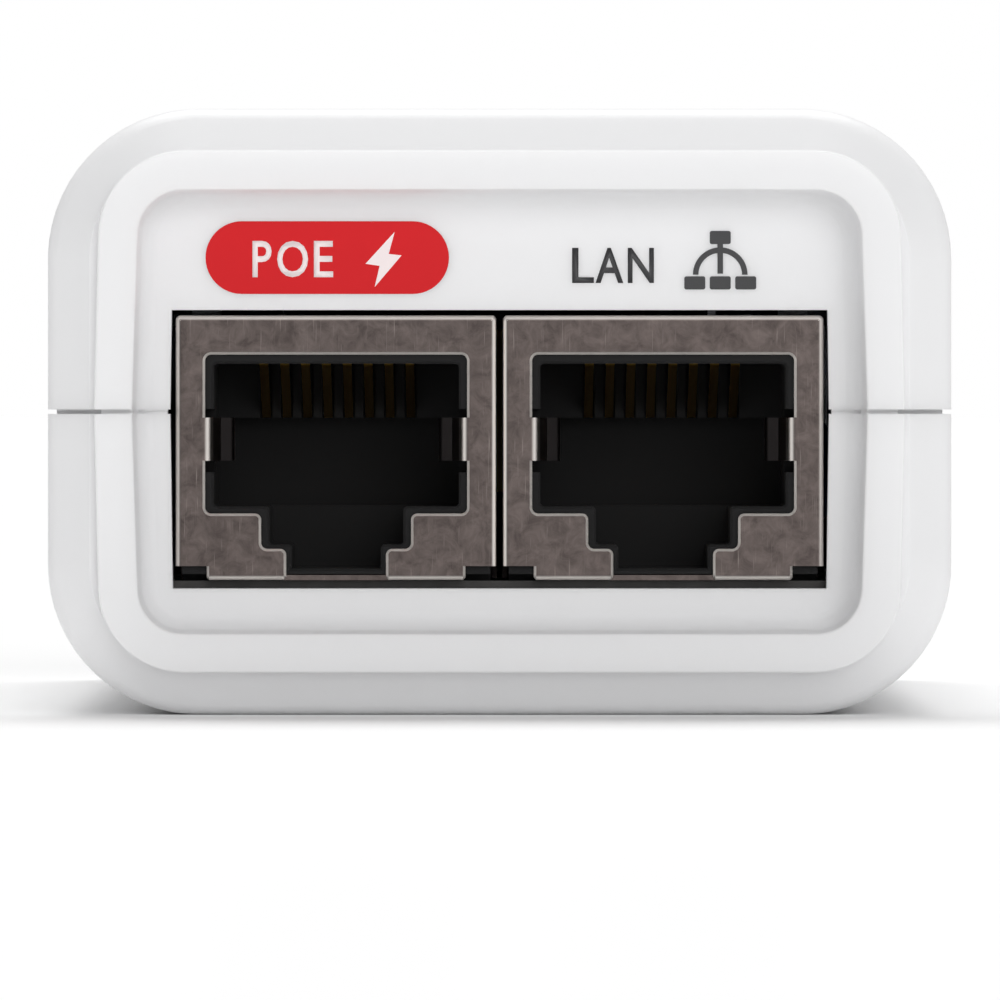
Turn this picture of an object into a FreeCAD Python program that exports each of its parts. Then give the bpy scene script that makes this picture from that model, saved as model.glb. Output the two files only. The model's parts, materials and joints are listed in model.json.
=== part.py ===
import FreeCAD, Part
import math
import os

from FreeCAD import Vector

# A power-over-Ethernet injector: a two-part moulded case, two shielded network
# sockets in a recessed front, a three-pin mains inlet at the back, and the small
# switched-mode supply between them.  Millimetres.  +X is to the right seen from
# the sockets' end, +Y runs back from that end, +Z is up.  The origin is the middle
# of the face that the case stands on.

# ---------------------------------------------------------------- case
case_width = 44.0
case_length = 86.0
case_height = 29.5
case_corner_radius = 7.3
case_wall = 2.0
shoulder_run = 1.9          # how far the sloped shoulder runs back along the case
shoulder_round = 1.5        # rounding from the shoulder to the case's sides
bezel_proud = 0.9           # the bezel stands this far in front of the shoulder
bezel_inset_side = 2.35
bezel_inset_top = 2.1
bezel_corner_radius = 4.15
bezel_draft = 1.3           # degrees, each half leaning in from the parting line
bezel_edge_round = 0.12
recess_depth = 3.0
recess_land_side = 1.85     # width of the bezel's flat land, beside the recess
recess_land_top = 1.9
recess_corner_radius = 2.2
recess_draft = 1.8
recess_taper = 0.15         # how much the recess closes in from mouth to floor
recess_floor_round = 0.8
panel_thickness = 1.6
parting_gap = 0.22          # the shadow line around the case
parting_gap_depth = 0.45    # on the case's sides and shoulders
parting_gap_bezel = 0.35    # on the bezel
parting_gap_inside = 0.12   # beside the openings
panel_step = 0.08           # the lower half of the panel stands this far proud
tongue_width = 0.8
tongue_height = 1.0
tongue_clearance = 0.08

# ---------------------------------------------------------------- board
board_standoff = 2.9
board_thickness = 1.6
board_side_clearance = 1.2  # to the case's inner sides
board_end_clearance = 0.15
board_corner_radius = 1.5
ledge_overlap = 1.2         # the case's ledges reach this far under the board
hold_down_width = 2.4
hold_down_overlap = 1.0
hold_down_clearance = 0.05
hole_clearance = 0.12
lead_below_board = 1.1
solder_spread = 0.45
solder_height = 0.6
sheet_thickness = 0.3
sheet_clearance = 0.2

# ---------------------------------------------------------------- network sockets
shield_width = 15.64
shield_height = 12.95
shield_depth = 18.0
shield_metal = 0.25
shield_edge_round = 0.27
shield_edge_break = 0.12    # rolled edges of the front opening
shield_sole_length = 2.4
shield_gap = 0.29           # between the two shields
shield_tab_lift = 0.04      # the front tabs stop just above the board
shield_side_lift = 0.73
shield_tab_half_width = 6.3
shield_leg_width = 1.4
shield_leg_back = 11.5
socket_setback = 0.35       # the shields' faces sit this far behind the panel's face
window_clearance = 0.25
window_sill_drop = 0.36     # the window reaches this far below the board's top
window_draft = 0.8
plug_half_widths = (5.98, 3.27, 2.17)        # plug opening, latch step, latch slot
plug_levels = (10.6, 3.62, 1.77, 0.6)        # top, shelf, step, slot floor, over the board
plug_corner_radius = 0.2
plug_mouth_break = 0.12
lip_sides = (0.40, 0.38, 0.26)               # plastic showing inside the metal's opening
lip_levels = (0.43, -0.33, -0.20)
metal_corner_radius = 0.3
plug_depth = 12.4
latch_depth = 9.5
housing_clearance = 0.05
housing_post_radius = 1.6
housing_post_spread = 5.7
housing_post_back = 8.9
finger_height = 2.1         # springy side fingers of the shield
finger_level = 6.91         # their middle, over the board
finger_run = 1.7            # straight back, before the crest
finger_lean = 0.6
finger_crest_run = 0.45
finger_reach = 1.25
finger_notch_above = 0.42
finger_notch_below = 0.57

# ---------------------------------------------------------------- socket contacts
contact_count = 8
contact_pitch = 1.02
contact_width = 0.42
contact_thickness = 0.3
contact_bend_back = 3.2     # middle of the bend, behind the shield's face
contact_bend_rise = 0.4     # middle of the bend, above the socket's ceiling
contact_bend_radius = 0.45  # to the middle of the wire
contact_arm_length = 7.6
contact_arm_slope = 19.0    # degrees below level, at rest
contact_break_angle = 15.0  # the sprung arm starts this far past the top of the bend
contact_break_gap = 4.0     # degrees
contact_tail_back = 14.4
contact_row_step = 2.0      # between the two staggered rows of tails
contact_slot_margin = 0.09
comb_drop = 2.65
comb_length = 2.7
insert_back = 13.4
insert_half_width = 5.6
insert_clearance = 0.06

# ---------------------------------------------------------------- mains inlet
inlet_width = 20.6
inlet_height = 16.4
inlet_corner_radius = 2.0
inlet_depth = 14.6
inlet_flange = 1.1
inlet_flange_thickness = 1.8
inlet_clearance = 0.12
inlet_lobe_radius = 4.0
inlet_line_spread = 5.0
inlet_line_raise = 2.4
inlet_earth_drop = 3.1
inlet_cavity_depth = 11.0
inlet_back_pocket = 2.0
inlet_mouth_round = 0.3
inlet_pin_radius = 1.18
inlet_pin_length = 9.2
inlet_pin_round = 0.6
inlet_leg_radius = 0.6

# ---------------------------------------------------------------- status lamp
lamp_radius = 1.5
lamp_flange_radius = 1.95
lamp_flange_thickness = 1.0
lamp_clearance = 0.08
lamp_proud = 0.5
lamp_beside_inlet = 3.5     # from the inlet's side to the middle of the lamp
lamp_pipe_length = 3.0
lamp_body_length = 4.2
lamp_lead_spread = 2.2
lamp_lead_radius = 0.25

# ---------------------------------------------------------------- supply on the board
signal_row_depth = 7.2
output_row_depth = 8.8
power_row_depth = 14.6
input_row_depth = 12.6
data_block_size = (15.0, 7.0, 5.6)
data_block_gap = 1.0
data_lead_count = 8
data_lead_pitch = 1.27
data_foot = 0.9
output_can_radius = 4.0
output_can_height = 12.5
bulk_can_radius = 6.25
bulk_can_height = 18.0
can_rim_round = 0.6
can_lead_radius = 0.3
drum_radius = 4.1
drum_height = 8.6
drum_flange = 1.2
drum_waist_radius = 2.2
disc_radius = 3.9
disc_thickness = 3.2
disc_stand = 1.2
optocoupler_size = (6.4, 4.4, 3.4)
core_width = 18.0
core_height = 15.4
core_thickness = 4.8
core_leg = 2.6
bobbin_wall = 0.8
bobbin_clearance = 0.2
bobbin_half_length = 7.0
bobbin_rail = 2.5
winding_thickness = 2.6
tape_thickness = 0.2
transformer_stand = 0.6
transformer_pin_pitch = 3.6
sink_thickness = 1.5
sink_height = 18.0
sink_length = 13.5
sink_clearance = 0.9        # between a package and the transformer's core
package_width = 10.0
package_height = 9.2
package_thickness = 4.5
package_stand = 3.2
package_tab_thickness = 1.3
package_tab_height = 6.2
package_lead_pitch = 2.54
screw_radius = 1.5
screw_head_radius = 2.75
screw_head_height = 1.8
screw_socket = 0.9
nut_across_flats = 5.5
nut_height = 1.9
film_capacitor_size = (12.5, 5.4, 10.5)
choke_outer_radius = 5.4
choke_inner_radius = 2.9
choke_thickness = 4.0
choke_winding_thickness = 0.7
choke_winding_angle = 110.0
choke_stand = 0.9
bridge_size = (8.4, 6.2, 3.2)
fuse_size = (4.0, 8.4, 7.6)
input_edge_gap = 0.35
beside_inlet_gap = 0.4
chip_size = (1.25, 2.0, 0.6)
chip_pitch = 3.2
suppressor_size = (2.6, 4.3, 2.0)
suppressor_x = 14.2
control_size = (4.9, 3.9, 1.5)

# ---------------------------------------------------------------- levels and places
middle_z = case_height / 2
board_bottom = case_wall + board_standoff
board_top = board_bottom + board_thickness
front_y = -case_length / 2
panel_face = front_y + recess_depth
panel_back = panel_face + panel_thickness
inner_half_width = case_width / 2 - case_wall
inner_half_height = case_height / 2 - case_wall
ceiling = case_height - case_wall
board_half_width = inner_half_width - board_side_clearance
bezel_half_width = case_width / 2 - bezel_inset_side
bezel_half_height = case_height / 2 - bezel_inset_top
recess_half_width = bezel_half_width - recess_land_side
recess_half_height = bezel_half_height - recess_land_top
board_front = panel_back + board_end_clearance
socket_face = panel_face + socket_setback
shield_back = socket_face + shield_depth
socket_x = (shield_width + shield_gap) / 2
metal_half_widths = [plug + lip for plug, lip in zip(plug_half_widths, lip_sides)]
metal_levels = [plug + lip for plug, lip in zip(plug_levels, lip_levels)]
window_half_width = socket_x + shield_width / 2 + window_clearance
window_top = board_top + shield_height + window_clearance
window_sill = board_top - window_sill_drop
inlet_back = -panel_face - inlet_depth
inlet_z = board_top + inlet_height / 2
lamp_x = inlet_width / 2 + lamp_beside_inlet
lamp_z = inlet_z
row_depths = (signal_row_depth, output_row_depth, power_row_depth, input_row_depth)
row_gap = (inlet_back - shield_back - sum(row_depths)) / (len(row_depths) + 1)
signal_y = shield_back + row_gap + signal_row_depth / 2
output_y = signal_y + signal_row_depth / 2 + row_gap + output_row_depth / 2
power_y = output_y + output_row_depth / 2 + row_gap + power_row_depth / 2
input_y = power_y + power_row_depth / 2 + row_gap + input_row_depth / 2

output_can_x = (-13.2, -4.4)
drum_x = 4.6
side_x = 13.4               # the small parts at the right end of the output row
input_half_row = board_half_width - hold_down_overlap - input_edge_gap
input_widths = 2 * bulk_can_radius + film_capacitor_size[0] + bridge_size[0]
input_gap = input_half_row - input_widths / 2
bulk_x = bulk_can_radius - input_half_row
film_x = bulk_x + bulk_can_radius + input_gap + film_capacitor_size[0] / 2
bridge_x = film_x + (film_capacitor_size[0] + bridge_size[0]) / 2 + input_gap
beside_x = inlet_width / 2 + beside_inlet_gap + disc_radius

drillings = []              # (x, y, radius) of holes for leads
soldered = []               # (x, y, radius) of round leads
pegs = []                   # (x, y, radius) of holes for plastic posts


# ---------------------------------------------------------------- shared shapes
def box(x0, x1, y0, y1, z0, z1):
    """A block between two corners."""
    return Part.makeBox(x1 - x0, y1 - y0, z1 - z0, Vector(x0, y0, z0))


def rod(radius, start, end):
    """A round bar from one point to another."""
    way = end - start
    return Part.makeCylinder(radius, way.Length, start, way)


def fuse(shapes):
    """One solid out of several that overlap or touch, without leftover seams."""
    return shapes[0].multiFuse(shapes[1:]).removeSplitter()


def rounded_loop(corners, place):
    """A closed wire through (a, b, radius) corners; place puts (a, b) in space."""
    edges = []
    ends = []
    count = len(corners)
    for i, (a, b, radius) in enumerate(corners):
        here = Vector(a, b, 0)
        before = Vector(*corners[i - 1][:2], 0) - here
        after = Vector(*corners[(i + 1) % count][:2], 0) - here
        if radius <= 0:
            ends.append((here, here, None))
            continue
        before.normalize()
        after.normalize()
        half = before.getAngle(after) / 2
        reach = radius / math.tan(half)
        inward = before + after
        inward.normalize()
        crown = here + inward * (radius / math.sin(half) - radius)
        ends.append((here + before * reach, here + after * reach, crown))
    for i, (start, end, crown) in enumerate(ends):
        if crown is not None:
            edges.append(Part.Arc(place(start), place(crown), place(end)).toShape())
        following = ends[(i + 1) % count][0]
        if end.distanceToPoint(following) > 1e-6:
            edges.append(Part.LineSegment(place(end), place(following)).toShape())
    return Part.Wire(edges)


def case_outline(half_width, half_height, radius, draft, y):
    """Rounded rectangle across the case, widest at the parting line."""
    lean = half_height * math.tan(math.radians(draft))
    top = half_width - lean
    corners = [
        (half_width, 0, 0),
        (top, half_height, radius),
        (-top, half_height, radius),
        (-half_width, 0, 0),
        (-top, -half_height, radius),
        (top, -half_height, radius),
    ]
    return rounded_loop(corners, lambda p: Vector(p.x, y, middle_z + p.y))


def prism(wire, way):
    """A flat wire carried along a direction."""
    return Part.Face(wire).extrude(way)


def strip(path, radius, thickness, place, way):
    """A metal strip bent along (a, b) points with rounded bends, extruded by way."""
    points = [Vector(a, b, 0) for a, b in path]
    left, right = [], []
    for i, here in enumerate(points):
        into = (here - points[i - 1]) if i else (points[1] - here)
        out = (points[i + 1] - here) if i + 1 < len(points) else Vector(into)
        into.normalize()
        out.normalize()
        across = Vector(-into.y - out.y, into.x + out.x, 0).normalize()
        spread = thickness / 2 / across.dot(Vector(-into.y, into.x, 0))
        bend = into.cross(out).z
        r_left = r_right = 0
        if bend > 1e-9:
            r_left, r_right = radius, radius + thickness
        if bend < -1e-9:
            r_left, r_right = radius + thickness, radius
        a, b = here + across * spread, here - across * spread
        left.append((a.x, a.y, r_left))
        right.append((b.x, b.y, r_right))
    return prism(rounded_loop(left + right[::-1], place), way)


def moved(solids, x, y):
    """Copies of some solids, shifted along the board."""
    copies = [solid.copy() for solid in solids]
    for solid in copies:
        solid.translate(Vector(x, y, 0))
    return copies


def lead(x, y, radius, top=None):
    """A round component lead through the board; notes the hole it needs."""
    drillings.append((x, y, radius + hole_clearance))
    soldered.append((x, y, radius))
    high = board_top + 0.3 if top is None else top
    return rod(radius, Vector(x, y, board_bottom - lead_below_board), Vector(x, y, high))


def edges_where(shape, test):
    """The edges whose every end and middle point pass a test."""
    found = []
    for edge in shape.Edges:
        points = [v.Point for v in edge.Vertexes]
        points.append(edge.valueAt((edge.FirstParameter + edge.LastParameter) / 2))
        if all(test(p) for p in points):
            found.append(edge)
    return found


def near(value, target, within=1e-4):
    return abs(value - target) < within


# ---------------------------------------------------------------- case
def case_end():
    """The outer form of the half of the case that ends in the front bezel."""
    half_w, half_h = case_width / 2, case_height / 2
    shoulder_front = front_y + bezel_proud
    shoulder_back = shoulder_front + shoulder_run
    inset = min(bezel_inset_side, bezel_inset_top)
    wide = case_outline(half_w, half_h, case_corner_radius, 0, shoulder_back)
    narrow = case_outline(
        half_w - inset, half_h - inset, case_corner_radius - inset, 0, shoulder_front
    )
    barrel = prism(wide, Vector(0, -shoulder_back, 0))
    slope = Part.makeLoft([narrow, wide], True, True)
    body = fuse([barrel, slope])
    body = body.makeFillet(
        shoulder_round, edges_where(body, lambda p: near(p.y, shoulder_back))
    )
    bezel = prism(
        case_outline(
            bezel_half_width, bezel_half_height, bezel_corner_radius, bezel_draft, front_y
        ),
        Vector(0, bezel_proud + shoulder_run, 0),
    )
    return fuse([body, bezel])


def recess_pocket():
    """The hollow in the bezel, closing in a little towards its rounded floor."""
    halves = []
    for side in (-1, 1):
        outlines = []
        floor = panel_face + (panel_step if side > 0 else 0)
        for y, shrink in ((front_y, 0), (floor, recess_taper)):
            high = recess_half_height - shrink
            wide = recess_half_width - shrink
            top = wide - high * math.tan(math.radians(recess_draft))
            radius = recess_corner_radius - shrink
            corners = [
                (wide, 0, 0),
                (top, side * high, radius),
                (-top, side * high, radius),
                (-wide, 0, 0),
            ]
            outlines.append(rounded_loop(corners, lambda p: Vector(p.x, y, middle_z + p.y)))
        half = Part.makeLoft(outlines, True, True)
        rim = edges_where(half, lambda p: near(p.y, floor))
        rim = [edge for edge in rim if not near(edge.CenterOfMass.z, middle_z)]
        halves.append(half.makeFillet(recess_floor_round, rim))
    return fuse(halves)


def socket_window():
    """The opening for the two network sockets, its sides leaning in a little."""
    lean = math.tan(math.radians(window_draft))
    top = window_half_width - (window_top - middle_z) * lean
    low = window_half_width - (middle_z - window_sill) * lean
    corners = [
        (window_half_width, middle_z, 0),
        (top, window_top, 0),
        (-top, window_top, 0),
        (-window_half_width, middle_z, 0),
        (-low, window_sill, 0),
        (low, window_sill, 0),
    ]
    start = panel_face - 1
    outline = rounded_loop(corners, lambda p: Vector(p.x, start, p.y))
    return prism(outline, Vector(0, panel_thickness + 2, 0))


def inlet_outline(grow, y):
    """The mains inlet's rounded outline, optionally grown all round."""
    wide = inlet_width / 2 + grow
    low, high = inlet_z - inlet_height / 2 - grow, inlet_z + inlet_height / 2 + grow
    radius = inlet_corner_radius + grow
    corners = [
        (wide, low, radius),
        (wide, high, radius),
        (-wide, high, radius),
        (-wide, low, radius),
    ]
    return rounded_loop(corners, lambda p: Vector(p.x, y, p.y))


def case_hollow():
    """The space inside the case."""
    outline = case_outline(
        inner_half_width, inner_half_height, case_corner_radius - case_wall, 0, panel_back
    )
    return prism(outline, Vector(0, -2 * panel_back, 0))


def case_halves():
    """The upper and lower half of the case, hollow, with the openings at both ends."""
    whole = case_end().cut(recess_pocket())
    start = -panel_back - 1
    inlet_window = prism(
        inlet_outline(inlet_clearance, start), Vector(0, panel_thickness + 2, 0)
    )
    lamp_hole = rod(
        lamp_radius + lamp_clearance,
        Vector(lamp_x, start, lamp_z),
        Vector(lamp_x, start + panel_thickness + 2, lamp_z),
    )
    openings = [case_hollow(), socket_window(), inlet_window, lamp_hole]
    x, y = case_width, case_length
    halves = []
    for z0, z1 in ((middle_z, case_height + 1), (-1, middle_z)):
        end = whole.common(box(-x, x, -y, 0, z0, z1))
        rim = edges_where(end, lambda p: near(p.y, front_y))
        rim = [edge for edge in rim if not near(edge.CenterOfMass.z, middle_z)]
        end = end.makeFillet(bezel_edge_round, rim)
        both = fuse([end, end.mirror(Vector(0, 0, 0), Vector(0, 1, 0))])
        halves.append(both.cut(openings))
    return halves


def shoulder_reliefs(low, high):
    """Blocks outside a line that runs under the sloped shoulders, as deep as the shadow line."""
    inset = min(bezel_inset_side, bezel_inset_top)
    slope = Vector(inset, shoulder_run, 0).normalize()
    under = Vector(-slope.y, slope.x, 0) * parting_gap_depth
    start = Vector(case_width / 2 - inset, front_y + bezel_proud, low) + under
    finish = start + slope * (2 * shoulder_run + 2 * inset)
    start -= slope * inset
    corner = Vector(finish.x, start.y, low)
    reliefs = []
    for side in (-1, 1):
        for end in (-1, 1):
            points = [Vector(side * p.x, end * p.y, low) for p in (start, finish, corner, start)]
            reliefs.append(prism(Part.makePolygon(points), Vector(0, 0, high - low)))
    return reliefs


def meeting_lands():
    """Where the two shells touch: set in from the outer faces by the shadow line."""
    low, high = middle_z - parting_gap, middle_z + parting_gap
    outer = case_width / 2 - parting_gap_depth
    end = front_y + bezel_proud
    inner = recess_half_width - parting_gap
    rim = bezel_half_width - parting_gap_bezel
    face = front_y + parting_gap_bezel
    beside_socket = window_half_width + parting_gap_inside
    beside_inlet = inlet_width / 2 + inlet_clearance + parting_gap_inside
    lands = []
    for side in (-1, 1):
        spans = (
            (inner_half_width, outer, end, -end),
            (inner, outer, end, panel_back),
            (inner, outer, -panel_back, -end),
            (beside_socket, inner, panel_face, panel_back),
            (beside_inlet, inner, -panel_back, -panel_face),
        )
        for x0, x1, y0, y1 in spans:
            x0, x1 = sorted((side * x0, side * x1))
            lands.append(box(x0, x1, y0, y1, low, high))
    lands = [fuse(lands).cut(shoulder_reliefs(low, high))]
    for side in (-1, 1):
        x0, x1 = sorted((side * inner, side * rim))
        lands.append(box(x0, x1, face, panel_face, low, high))
        lands.append(box(x0, x1, -panel_face, -face, low, high))
    around_lamp = rod(
        lamp_radius + lamp_clearance + parting_gap_inside,
        Vector(lamp_x, -panel_back - 1, lamp_z),
        Vector(lamp_x, -panel_face + 1, lamp_z),
    )
    return fuse(lands).cut(around_lamp)


def tongue_zone(grow):
    """The band inside the walls that the tongue fills, clear of the end openings."""
    x = inner_half_width + tongue_width + grow
    y = -panel_back + tongue_width + grow
    high = middle_z + tongue_height + grow
    zone = box(-x, x, -y, y, middle_z, high)
    back_off = 2 * parting_gap_bezel - grow
    beside_socket = window_half_width + back_off
    beside_inlet = inlet_width / 2 + inlet_clearance + back_off
    beside_lamp = lamp_x + lamp_radius + lamp_clearance + back_off
    sockets_end = box(-beside_socket, beside_socket, -y, 0, middle_z, high)
    inlet_end = box(-beside_inlet, beside_lamp, 0, y, middle_z, high)
    return zone.cut([sockets_end, inlet_end])


def lower_ledges():
    """Ledges along both sides that carry the board."""
    inner = board_half_width - ledge_overlap
    ledges = []
    for side in (-1, 1):
        x0, x1 = sorted((side * inner, side * inner_half_width))
        ledges.append(box(x0, x1, panel_back, -panel_back, case_wall, board_bottom))
    return ledges


def hold_downs():
    """Ribs down the upper shell's sides that keep the board on its ledges."""
    inner = board_half_width - hold_down_overlap
    rows = (
        socket_face + shield_depth / 2,
        signal_y,
        input_y,
        (inlet_back - panel_back) / 2,
    )
    ribs = []
    for y in rows:
        for side in (-1, 1):
            x0, x1 = sorted((side * inner, side * inner_half_width))
            y0, y1 = y - hold_down_width / 2, y + hold_down_width / 2
            ribs.append(box(x0, x1, y0, y1, board_top + hold_down_clearance, ceiling))
    stop = -panel_back - inlet_flange_thickness - inlet_clearance
    low = board_top + inlet_height + inlet_clearance
    ribs.append(
        box(-inlet_width / 4, inlet_width / 4, stop - case_wall, stop, low, ceiling)
    )
    return ribs


def case_shells():
    """The upper and the lower shell."""
    upper, lower = case_halves()
    hollow = case_hollow()
    x, y, half_gap = case_width, case_length, parting_gap / 2
    line = box(-x, x, -y, y, middle_z - half_gap, middle_z + half_gap)
    line = line.cut(meeting_lands())
    tongue = upper.common(tongue_zone(0))
    ledges = [ledge.common(hollow) for ledge in lower_ledges()]
    lower = fuse([lower.cut(line), tongue] + ledges)
    ribs = [rib.common(hollow) for rib in hold_downs()]
    upper = fuse([upper.cut([line, tongue_zone(tongue_clearance)])] + ribs)
    return upper, lower


# ---------------------------------------------------------------- network sockets
def stepped_opening(half_widths, levels, bottom, radius, y, way):
    """Plug-shaped opening: body, latch step and latch slot, one above the other."""
    wide, step, slot = half_widths
    top, shelf, ledge = levels[:3]
    corners = [
        (wide, top, radius),
        (wide, shelf, radius),
        (step, shelf, radius),
        (step, ledge, radius),
        (slot, ledge, radius),
        (slot, bottom, 0),
    ]
    corners += [(-a, b, r) for a, b, r in reversed(corners)]
    loop = rounded_loop(corners, lambda p: Vector(p.x, y, board_top + p.y))
    return prism(loop, Vector(0, way, 0))


def shield_sole():
    """The fold under the front of the shield, that joins its two front tabs."""
    wide = shield_tab_half_width
    low = board_top + shield_tab_lift
    back = socket_face + shield_sole_length
    return box(-wide, wide, socket_face + shield_metal, back, low, low + shield_metal)


def jack_shield():
    """Folded metal shield of one socket, about the middle of its front face."""
    half = shield_width / 2
    low, high = board_top + shield_tab_lift, board_top + shield_height
    side_z = board_top + shield_side_lift
    block = box(-half, half, socket_face, shield_back, low, high)
    folds = edges_where(block, lambda p: near(abs(p.x), half) and near(p.z, high))
    folds += edges_where(block, lambda p: near(p.y, socket_face))
    block = block.makeFillet(shield_edge_round, folds)
    inside = box(
        -half + shield_metal,
        half - shield_metal,
        socket_face + shield_metal,
        shield_back - shield_metal,
        low - 1,
        high - shield_metal,
    )
    opening = stepped_opening(
        metal_half_widths,
        metal_levels,
        -1,
        metal_corner_radius,
        socket_face - 1,
        1 + shield_metal,
    )
    corners = []
    for side in (-1, 1):
        x0, x1 = sorted((side * shield_tab_half_width, side * (half + 1)))
        corners.append(box(x0, x1, socket_face - 1, shield_back + 1, low - 1, side_z))
    shield = block.cut([inside.cut(shield_sole()), opening] + corners)
    top = board_top + metal_levels[0]
    rolled = edges_where(
        shield,
        lambda p: near(p.y, socket_face)
        and p.z < top + 0.01
        and abs(p.x) < metal_half_widths[0] + 0.01,
    )
    pieces = [shield.makeChamfer(shield_edge_break, rolled)]
    for side in (-1, 1):
        pieces.append(side_finger(side))
        x0, x1 = sorted((side * (half - shield_metal), side * half))
        y = socket_face + shield_leg_back
        y0, y1 = y - shield_leg_width / 2, y + shield_leg_width / 2
        foot = board_bottom - lead_below_board
        pieces.append(box(x0, x1, y0, y1, foot, side_z + 0.5))
    return fuse(pieces)


def side_finger(side):
    """Springy finger folded back from the side of the shield's opening to a pressed crest."""
    edge = metal_half_widths[0]
    middle = socket_face + shield_metal / 2
    path = [
        (middle, side * (edge + shield_metal)),
        (middle, side * (edge - shield_metal / 2)),
        (middle + finger_run, side * (edge - finger_lean)),
        (middle + finger_run + finger_crest_run, side * (edge - finger_reach)),
        (middle + 2 * finger_run, side * (edge - finger_reach)),
    ]
    z = board_top + finger_level - finger_height / 2
    place = lambda p: Vector(p.y, p.x, z)
    return strip(path, shield_metal / 2, shield_metal, place, Vector(0, 0, finger_height))


def contact_x():
    """Across positions of the contacts about the middle of a socket."""
    first = -(contact_count - 1) / 2 * contact_pitch
    return [first + i * contact_pitch for i in range(contact_count)]


def contact_centre():
    """Middle of the contacts' bend, as (y, z)."""
    y = socket_face + contact_bend_back
    return y, board_top + plug_levels[0] + contact_bend_rise


def bend_point(x, radius, angle):
    """A point around the contacts' bend; 90 degrees is the top, 180 the front."""
    y, z = contact_centre()
    turn = math.radians(angle)
    return Vector(x, y + radius * math.cos(turn), z + radius * math.sin(turn))


def bend_sector(x, start, end):
    """The two arcs of the contacts' bend between two angles, and their radii."""
    inner = contact_bend_radius - contact_thickness / 2
    outer = contact_bend_radius + contact_thickness / 2
    middle = (start + end) / 2
    arcs = []
    for radius in (outer, inner):
        points = [bend_point(x, radius, a) for a in (start, middle, end)]
        arcs.append(Part.Arc(*points).toShape())
    return arcs, inner, outer


def contact_arm(x):
    """One sprung arm: the rest of the bend and the straight arm below it."""
    left = x - contact_width / 2
    end = 270.0 - contact_arm_slope
    start = 90.0 + contact_break_angle
    arcs, inner, outer = bend_sector(left, start, end)
    slope = math.radians(contact_arm_slope)
    run = Vector(0, math.cos(slope), -math.sin(slope)) * contact_arm_length
    low_start, high_start = bend_point(left, outer, end), bend_point(left, inner, end)
    edges = [
        arcs[0],
        Part.LineSegment(low_start, low_start + run).toShape(),
        Part.LineSegment(low_start + run, high_start + run).toShape(),
        Part.LineSegment(high_start + run, high_start).toShape(),
        arcs[1],
        Part.LineSegment(
            bend_point(left, inner, start), bend_point(left, outer, start)
        ).toShape(),
    ]
    return prism(Part.Wire(Part.sortEdges(edges)[0]), Vector(contact_width, 0, 0))


def contact_tail(x, row):
    """One fixed tail: through the board, up, and forward over the socket's ceiling."""
    left = x - contact_width / 2
    centre_y, centre_z = contact_centre()
    tail_y = socket_face + contact_tail_back + row * contact_row_step
    run_z = centre_z + contact_bend_radius
    path = [
        (tail_y, board_bottom - lead_below_board),
        (tail_y, run_z),
        (centre_y, run_z),
    ]
    place = lambda p: Vector(left, p.x, p.y)
    run = strip(path, contact_thickness, contact_thickness, place, Vector(contact_width, 0, 0))
    end = 90.0 + contact_break_angle - contact_break_gap
    arcs, inner, outer = bend_sector(left, 90.0, end)
    edges = arcs + [
        Part.LineSegment(bend_point(left, inner, a), bend_point(left, outer, a)).toShape()
        for a in (90.0, end)
    ]
    bend = prism(Part.Wire(Part.sortEdges(edges)[0]), Vector(contact_width, 0, 0))
    return fuse([run, bend])


def jack_housing():
    """Black plastic body of one socket: plug opening, contact slots, comb and posts."""
    half = shield_width / 2 - shield_metal - housing_clearance
    front = socket_face + shield_metal + housing_clearance
    back = socket_face + insert_back
    high = board_top + shield_height - shield_metal - housing_clearance
    block = box(-half, half, front, back, board_top, high)
    top, shelf, ledge, floor = plug_levels
    body = stepped_opening(
        plug_half_widths, plug_levels, floor, plug_corner_radius, socket_face, latch_depth
    )
    plug_end = socket_face + plug_depth
    deep = box(
        -plug_half_widths[0],
        plug_half_widths[0],
        socket_face + latch_depth,
        plug_end,
        board_top + shelf,
        board_top + top,
    )
    sole = shield_sole()
    under = box(
        -half,
        half,
        front - 1,
        sole.BoundBox.YMax + housing_clearance,
        board_top,
        sole.BoundBox.ZMax + housing_clearance,
    )
    block = block.cut([body, deep])
    mouth = edges_where(
        block,
        lambda p: near(p.y, front)
        and abs(p.x) < plug_half_widths[0] + 0.01
        and board_top + floor - 0.01 < p.z < board_top + top + 0.01,
    )
    block = block.makeChamfer(plug_mouth_break, mouth).cut(under)
    comb = box(
        -plug_half_widths[0],
        plug_half_widths[0],
        plug_end - comb_length,
        plug_end,
        board_top + top - comb_drop,
        board_top + top,
    )
    block = fuse([block, comb])
    slots = []
    reach = contact_width / 2 + contact_slot_margin
    slot_front = bend_point(0, contact_bend_radius + contact_thickness, 180).y
    slot_top = bend_point(0, contact_bend_radius + contact_thickness, 90).z
    for x in contact_x():
        low = board_top + top - comb_drop - 1
        slots.append(box(x - reach, x + reach, slot_front, back + 1, slot_top - 0.6, slot_top))
        slots.append(box(x - reach, x + reach, slot_front, plug_end - 0.4, low, slot_top))
    notch_z = board_top + finger_level
    notch_low = notch_z - finger_height / 2 - finger_notch_below
    notch_high = notch_z + finger_height / 2 + finger_notch_above
    for side in (-1, 1):
        x0, x1 = sorted((side * (plug_half_widths[0] - 1), side * (half + 1)))
        notch_back = socket_face + 2 * finger_run + 2 * finger_notch_above
        slots.append(box(x0, x1, front - 1, notch_back, notch_low, notch_high))
    block = block.cut(slots)
    foot = board_bottom - lead_below_board / 2
    post_y = socket_face + housing_post_back
    posts = [
        rod(
            housing_post_radius,
            Vector(side * housing_post_spread, post_y, foot),
            Vector(side * housing_post_spread, post_y, board_top),
        )
        for side in (-1, 1)
    ]
    return fuse([block] + posts)


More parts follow.
